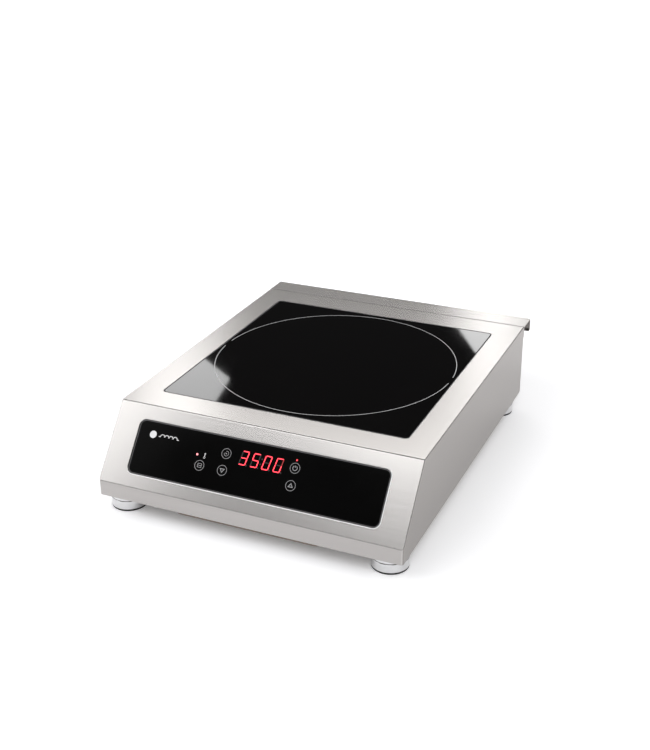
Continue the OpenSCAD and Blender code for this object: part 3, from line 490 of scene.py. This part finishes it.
SEGMENT_FAINT = glowing("segment_faint", (1.0, 0.05, 0.05), 0.25, (0.2, 0.01, 0.01))
SEGMENT_DARK = varied("segment_dark", (0.02, 0.012, 0.012), 0.4)
PRINT_GREY = varied("print_grey", (0.34, 0.34, 0.35), 0.45, tone=0.06)
PRINT_WHITE = varied("print_white", (0.78, 0.78, 0.79), 0.4, tone=0.05)
# A grey band on the overlay along the window's edge: painted shade for the window's shaded cut wall.
WINDOW_SHADE = varied("window_shade_grey", (0.065, 0.063, 0.066), 0.4, tone=0.1)
# A near-white strip along the window's lower and right sides: a painted highlight on its edge.
RIM_HIGHLIGHT = varied("rim_painted_highlight", (0.95, 0.95, 0.95), 0.35, tone=0.04, depth=0.002 * MM)
PRINT_ZONE = varied("print_zone", (0.62, 0.62, 0.63), 0.35, tone=0.06)

MATERIALS = {
    STEEL: ["housing", "rear_hood", "rear_panel"],
    BASE_STEEL_SHADED: ["base_plate", "glass_ledge"],
    COOKTOP: ["glass_plate"],
    PANEL: ["control_overlay"],
    SEAL: ["glass_seal"],
    SCREWS: ["base_screws", "rear_screws", "hood_rivets", "board_screws", "fan_screws", "foot_nuts",
             "temperature_sensor"],
    BLACK_PLASTIC: ["control_tray", "air_duct", "fan_frame", "fan_rotor", "cable_gland", "gland_cap",
                    "gland_locknut"],
    CARRIER: ["coil_carrier"],
    BOARD: ["control_board", "power_board", "filter_board"],
    DISPLAY: ["display_module"],
    LAMP: ["indicator_leds"],
    BRASS: ["touch_springs", "board_standoffs", "earth_terminal"],
    RIBBON: ["ribbon_cable"],
    WINDING: ["coil_winding", "power_choke", "common_mode_choke", "fan_stator"],
    FERRITE: ["ferrite_bars"],
    MICA: ["mica_disc"],
    WHITE_SILICONE: ["sensor_holder"],
    RUBBER: ["coil_supports", "gland_seal"] + [n for n in parts if n.startswith("foot_pad")],
    ALUMINIUM: ["coil_tray", "heat_sink"],
    LEAD_RED: ["coil_leads"],
    LEAD_BLUE: ["mains_leads"],
    EPOXY: ["power_transistors", "bridge_rectifier"],
    FILM_CAP: ["resonance_capacitors", "filter_capacitors"],
    BUS_CAP: ["bus_capacitor"],
    TERMINAL: ["terminal_block"],
    CHROME: ["foot_collars"] + [n for n in parts if n.startswith("foot_cup")],
}


def dress(obj, mat):
    """Gives every face of an object one material."""
    if not obj.material_slots:
        obj.data.materials.append(mat)
    for slot in obj.material_slots:
        slot.material = mat


def dress_cad_nodes():
    for mat, names in MATERIALS.items():
        for name in names:
            dress(parts[name], mat)


# ---------- Marks on the panel and the glass ----------

# Points this near to the front of the overlay count as being on it.
FLAT_ENOUGH = 0.01 * MM


def panel_plane():
    """The front of the control overlay, with its middle at the middle of the panel."""
    mesh = parts["control_overlay"].data
    front = max(mesh.polygons, key=lambda p: p.area * max(0.0, -p.normal.y))
    normal = front.normal.copy()
    across = Vector((1, 0, 0))
    up = normal.cross(across)
    on_front = mesh.vertices[front.vertices[0]].co
    corners = [v.co for v in mesh.vertices if abs((v.co - on_front).dot(normal)) < FLAT_ENOUGH]
    heights = [c.dot(up) for c in corners]
    middle = up * (min(heights) + max(heights)) / 2 + normal * corners[0].dot(normal)
    return Plane(middle, across, up)


def glass_plane():
    low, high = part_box("glass_plate")
    return Plane(((low.x + high.x) / 2, (low.y + high.y) / 2, high.z), (1, 0, 0), (0, 1, 0))


def draw_menu(marks, c):
    """A page with one line across it, and the binding's three ticks at its left."""
    half = 1.9 * MM
    page_right = 0.3 * MM
    line_start = -0.9 * MM
    tick_start, tick_end = -2.5, -1.7
    signs = ((-1, -1), (1, -1), (1, 1), (-1, 1))
    corners = [c + Vector((x * half + page_right, y * half)) for x, y in signs]
    marks.stroke(corners, SYMBOL_LINE, closed=True)
    marks.stroke([c + Vector((line_start, 0)), c + Vector((half, 0))], SYMBOL_LINE)
    for row in (-1.1, 0, 1.1):
        marks.stroke([c + Vector((tick_start, row)) * MM, c + Vector((tick_end, row)) * MM], SYMBOL_LINE)


def draw_timer(marks, c):
    """An open dial with a hand from its middle."""
    marks.stroke(circle(c, 2.4 * MM, -190, 110, 24), SYMBOL_LINE)
    marks.disc(c, 0.65 * MM, 12)
    marks.stroke([c, c + Vector((-1.3, 0.5)) * MM], SYMBOL_LINE)


def draw_triangle(marks, c, point):
    """An open triangle that points up or down."""
    reach = 2.0 * MM * point
    marks.stroke([c + Vector((-2.2 * MM, -reach * 0.7)), c + Vector((2.2 * MM, -reach * 0.7)),
                  c + Vector((0, reach))], 0.7 * MM, closed=True)


def draw_power(marks, c):
    """A broken circle with a bar through the gap."""
    marks.stroke(circle(c, 2.3 * MM, 120, 420, 24), 0.6 * MM)
    marks.stroke([c + Vector((0, 0.5 * MM)), c + Vector((0, 2.5 * MM))], 0.6 * MM)


def draw_thermometer(marks, c):
    """A bright tip on a thin stem over a hollow bulb."""
    marks.disc(c + Vector((0, 1.9 * MM)), 0.75 * MM, 14)
    marks.stroke([c + Vector((0, -0.9 * MM)), c + Vector((0, 1.9 * MM))], 0.7 * MM)
    marks.ring(c + Vector((0, -1.9 * MM)), 0.9 * MM, 0.35 * MM, 16)


def draw_coil_symbol(marks, c):
    """A plain disc with the plain sign for induction beside it: a row of loops between two leads."""
    marks.disc(c, 3.8 * MM, 32)
    loops = 4
    radius = 2.4 * MM
    lead = 0.8 * radius
    first = c.x + 6.6 * MM
    base = c.y - 0.9 * MM
    path = [Vector((first, base))]
    for i in range(loops):
        path += circle((first + lead + (2 * i + 1) * radius, base), radius, 180, 0, 14)
    path.append(Vector((first + 2 * lead + 2 * loops * radius, base)))
    marks.stroke(path, 0.75 * MM)


def segment_outline(start, end):
    """A bar from start to end whose ends come to a point."""
    along = (end - start).normalized()
    side = Vector((-along.y, along.x)) * SEGMENT / 2
    tip = along * SEGMENT / 2
    return [start, start + tip - side, end - tip - side, end, end - tip + side, start + tip + side]


def digit_segments(middle):
    """The seven slanted segments of a digit, by letter."""
    half_w = (DIGIT_WIDTH - SEGMENT) / 2
    half_h = (DIGIT_HEIGHT - SEGMENT) / 2
    gap = 0.12 * MM
    ends = {
        "a": ((-half_w, half_h), (half_w, half_h)),
        "b": ((half_w, 0), (half_w, half_h)),
        "c": ((half_w, -half_h), (half_w, 0)),
        "d": ((-half_w, -half_h), (half_w, -half_h)),
        "e": ((-half_w, -half_h), (-half_w, 0)),
        "f": ((-half_w, 0), (-half_w, half_h)),
        "g": ((-half_w, 0), (half_w, 0)),
    }
    lean = tan(radians(DIGIT_SLANT))
    outlines = {}
    for letter, (start, end) in ends.items():
        start, end = Vector(start), Vector(end)
        trim = (end - start).normalized() * gap
        bar = segment_outline(start + trim, end - trim)
        outlines[letter] = [Vector((middle.x + p.x + p.y * lean, middle.y + p.y)) for p in bar]
    return outlines


def make_display(plane):
    """Lit and unlit segments, the colon and the decimal points."""
    lit, faint, dark = Print(plane), Print(plane), Print(plane)
    lean = tan(radians(DIGIT_SLANT))
    low = -(DIGIT_HEIGHT - SEGMENT) / 2
    point_right = DIGIT_WIDTH / 2 + 1.1 * MM
    for place, (number, x) in enumerate(zip(DIGITS, DIGIT_MIDDLES)):
        middle = Vector((x, DIGIT_UP))
        for letter, outline in digit_segments(middle).items():
            is_faint = place == FAINT_DIGIT and letter == FAINT_SEGMENT
            group = faint if is_faint else lit if letter in LIT[number] else dark
            group.patch(outline)
        dark.disc((x + point_right + low * lean, DIGIT_UP + low), 0.8 * MM, 16)
    colon = (DIGIT_MIDDLES[1] + DIGIT_MIDDLES[2]) / 2
    for up in (-2.6 * MM, 2.6 * MM):
        dark.disc((colon + up * lean, DIGIT_UP + up), 0.75 * MM, 16)
    return [
        (lit.build("display_segments_lit"), SEGMENT_LIT),
        (faint.build("display_segment_faint"), SEGMENT_FAINT),
        (dark.build("display_segments_unlit"), SEGMENT_DARK),
    ]


def make_panel_marks(plane):
    """Everything printed on the panel, and its two lamps."""
    grey, white = Print(plane), Print(plane)
    for place in KEYS.values():
        grey.ring(place, KEY_RING / 2, RING_LINE)
    draw_menu(grey, KEYS["menu"])
    draw_timer(grey, KEYS["timer"])
    draw_triangle(grey, KEYS["down"], -1)
    draw_triangle(grey, KEYS["up"], 1)
    draw_power(grey, KEYS["power"])
    draw_thermometer(white, THERMOMETER)
    draw_coil_symbol(white, SYMBOL)
    heat, power = Print(plane), Print(plane)
    heat.disc(LAMPS["heat"], 1.1 * MM)
    power.disc(LAMPS["power"], 0.9 * MM)
    return [
        (grey.build("panel_key_marks"), PRINT_GREY),
        (white.build("panel_symbols"), PRINT_WHITE),
        (heat.build("lamp_heat"), LAMP_PALE),
        (power.build("lamp_power"), LAMP),
    ]


def window_outline(grow):
    """The window's rounded outline, grown by a length, anticlockwise from its lower left corner."""
    radius = WINDOW_RADIUS + grow
    half = WINDOW / 2 - Vector((WINDOW_RADIUS, WINDOW_RADIUS))
    outline = []
    for i, (x, y) in enumerate(((-1, -1), (1, -1), (1, 1), (-1, 1))):
        outline += circle((x * half.x, y * half.y), radius, 180 + 90 * i, 270 + 90 * i, CORNER_STEPS)
    return outline


def make_window_edges(plane):
    """The overlay's grey band of painted shade, and the rim's painted highlight from the middle of one
    corner to the opposite one.
    """
    border = Print(plane)
    border.stroke(window_outline(-EDGE_BAND / 2), EDGE_BAND, closed=True)
    face = Plane(plane.at((0, 0), OVERLAY_BELOW), plane.across, plane.up)
    rim = Print(face)
    start = CORNER_STEPS // 2
    end = start + 2 * (CORNER_STEPS + 1)
    rim.stroke(window_outline(RIM_OUT)[start:end + 1], RIM_LINE)
    return [(border.build("window_shade_band"), WINDOW_SHADE), (rim.build("window_highlight"), RIM_HIGHLIGHT)]


def make_seam():
    """A dark block low in the seam between the body's top and the hood, as painted shade."""
    body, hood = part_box("housing"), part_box("rear_hood")
    ends = (hood[0].x + SEAM_CLEAR, hood[1].x - SEAM_CLEAR)
    walls = (body[1].y + SEAM_CLEAR, hood[0].y - SEAM_CLEAR)
    heights = (hood[1].z - SEAM_DEPTH, hood[1].z - SEAM_DROP)
    points = [(x, y, z) for z in heights for y in walls for x in ends]
    faces = [(0, 2, 3, 1), (4, 5, 7, 6), (0, 1, 5, 4), (2, 6, 7, 3), (0, 4, 6, 2), (1, 3, 7, 5)]
    return [(mesh_object("hood_seam_shade", points, faces), SEAM_SHADE)]


def make_zone_ring(plane):
    """A thin printed circle around the cooking zone, open at its left and right."""
    ring = Print(plane)
    start, end = ZONE_GAP_DEG
    for turn in (0, 180):
        ring.stroke(circle((0, 0), ZONE_RADIUS, end + turn, 180 + start + turn, 180), ZONE_LINE)
    return [(ring.build("zone_ring"), PRINT_ZONE)]


def add_marks():
    panel = panel_plane()
    pieces = make_display(panel) + make_panel_marks(panel) + make_window_edges(panel)
    for piece, mat in pieces + make_seam() + make_zone_ring(glass_plane()):
        dress(piece, mat)
        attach(piece, "hob")


# ---------- Studio ----------

# The floor glows, and its glow is least over a rectangle beneath the hob, a painted shadow given here by
# half its width and half its depth. Outside it the glow rises to the near glow over a short reach, and then
# by the far glow over a long one.
FLOOR_SHADOW = (0.12, 0.19)
GLOW_BENEATH = 0.15
GLOW_NEAR = 0.41
NEAR_REACH = 0.045
GLOW_FAR = 0.6
FAR_REACH = (0.13, 0.8)


def add_camera():
    az, el, roll = (radians(a) for a in (CAMERA_AZIMUTH, CAMERA_ELEVATION, CAMERA_ROLL))
    forward = Vector((-sin(az) * cos(el), cos(az) * cos(el), -sin(el)))
    right = Vector((cos(az), sin(az), 0))
    up = right.cross(forward)
    turned_right = right * cos(roll) + up * sin(roll)
    turned_up = up * cos(roll) - right * sin(roll)
    data = bpy.data.cameras.new("camera")
    data.lens = CAMERA_LENS
    data.sensor_width = SENSOR
    camera = bpy.data.objects.new("camera", data)
    axes = Matrix((turned_right, turned_up, -forward)).transposed().to_4x4()
    camera.matrix_world = Matrix.Translation(CAMERA_PLACE) @ axes
    bpy.context.scene.collection.objects.link(camera)
    bpy.context.scene.camera = camera


def softbox(name, place, target, width, height, radiance, color=(1, 1, 1), turn=0.0):
    """A rectangular light whose face glows with a given radiance."""
    data = bpy.data.lights.new(name, "AREA")
    data.shape = "RECTANGLE"
    data.size = width
    data.size_y = height
    data.energy = radiance * pi * width * height
    data.color = color
    light = bpy.data.objects.new(name, data)
    place = Vector(place)
    aim = (Vector(target) - place).to_track_quat("-Z", "Y").to_matrix().to_4x4()
    light.matrix_world = Matrix.Translation(place) @ aim @ Matrix.Rotation(radians(turn), 4, "Z")
    bpy.context.scene.collection.objects.link(light)
    return light


def vector_math(tree, operation, vector, other=None):
    """A vector worked on by itself or with another one."""
    node = tree.nodes.new("ShaderNodeVectorMath")
    node.operation = operation
    tree.links.new(vector, node.inputs[0])
    if other is not None:
        node.inputs[1].default_value = other
    return node


def distance_outside(tree, half_x, half_y):
    """How far a place on the floor is from a rectangle in its middle."""
    place = tree.nodes.new("ShaderNodeTexCoord").outputs["Object"]
    mirrored = vector_math(tree, "ABSOLUTE", place).outputs["Vector"]
    beyond = vector_math(tree, "SUBTRACT", mirrored, (half_x, half_y, 0)).outputs["Vector"]
    outside = vector_math(tree, "MAXIMUM", beyond, (0, 0, 0)).outputs["Vector"]
    return vector_math(tree, "LENGTH", outside).outputs["Value"]


def add_floor():
    """A white floor with a painted shadow beneath the hob, where its glow is least, that fades into a white
    backdrop away from it.
    """
    half = 9.0
    points = [(-half, -half, 0), (half, -half, 0), (half, half, 0), (-half, half, 0)]
    floor = mesh_object("floor", points, [(0, 1, 2, 3)])
    mat, tree, shader = new_material("floor_white", (0.9, 0.9, 0.92), 0.8)
    shader.inputs["Specular IOR Level"].default_value = 0.1
    outside = distance_outside(tree, *FLOOR_SHADOW)
    near = spread(tree, outside, GLOW_BENEATH, GLOW_NEAR, 0, NEAR_REACH)
    far = spread(tree, outside, 0, GLOW_FAR, *FAR_REACH)
    tree.links.new(combine(tree, "ADD", near, far), shader.inputs["Emission Strength"])
    shader.inputs["Emission Color"].default_value = (1, 1, 1, 1)
    dress(floor, mat)


def add_world():
    world = bpy.data.worlds.new("studio")
    world.use_nodes = True
    background = world.node_tree.nodes["Background"]
    background.inputs["Color"].default_value = (0.96, 0.97, 1.0, 1)
    background.inputs["Strength"].default_value = 0.035
    bpy.context.scene.world = world
    bpy.context.scene.view_settings.view_transform = "Standard"


def card(name, middle, width, height, radiance, turn):
    """A small upright card behind the hob that the glass mirrors in one corner."""
    ahead = Vector(middle) - Vector((0, 1, 0))
    softbox(name, middle, ahead, width, height, radiance, turn=turn)


def add_lights():
    """Broad light from above and in front, and softboxes that the fascia, the top and the glass mirror."""
    hob = (0, 0, 0.1)
    # Name, place, what it is aimed at, width, height and radiance
    softbox("overhead", (-0.4, -0.4, 3.0), (-0.4, -0.4, 0), 5.0, 5.0, 0.55)
    softbox("key_low", (-2.9, -1.9, 1.0), hob, 1.8, 1.2, 1.5)
    softbox("front_high", (0.6, -2.8, 2.4), hob, 2.2, 1.4, 1.65)
    softbox("right_high", (1.6, -0.3, 3.0), hob, 2.0, 1.6, 2.0)
    softbox("fascia_left", (-1.75, -1.6, 1.55), hob, 0.8, 1.0, 2.5)
    softbox("fascia_up", (-0.8, -0.95, 1.7), hob, 1.4, 0.5, 4.0)
    softbox("back_high", (-1.2, 3.0, 2.9), hob, 2.8, 1.6, 2.9, (1.0, 0.985, 0.97))
    softbox("front_wall", (0, -5.0, 1.7), hob, 7.0, 2.6, 0.35)
    # Name, middle, width, height, radiance and turn
    card("corner_left", (-1.591, 2.2, 1.374), 0.34, 0.34, 4.3, -31.3)
    card("corner_right", (-0.428, 2.2, 0.974), 0.2, 0.3, 5.2, 38.7)


dress_cad_nodes()
add_marks()
add_camera()
add_floor()
add_world()
add_lights()
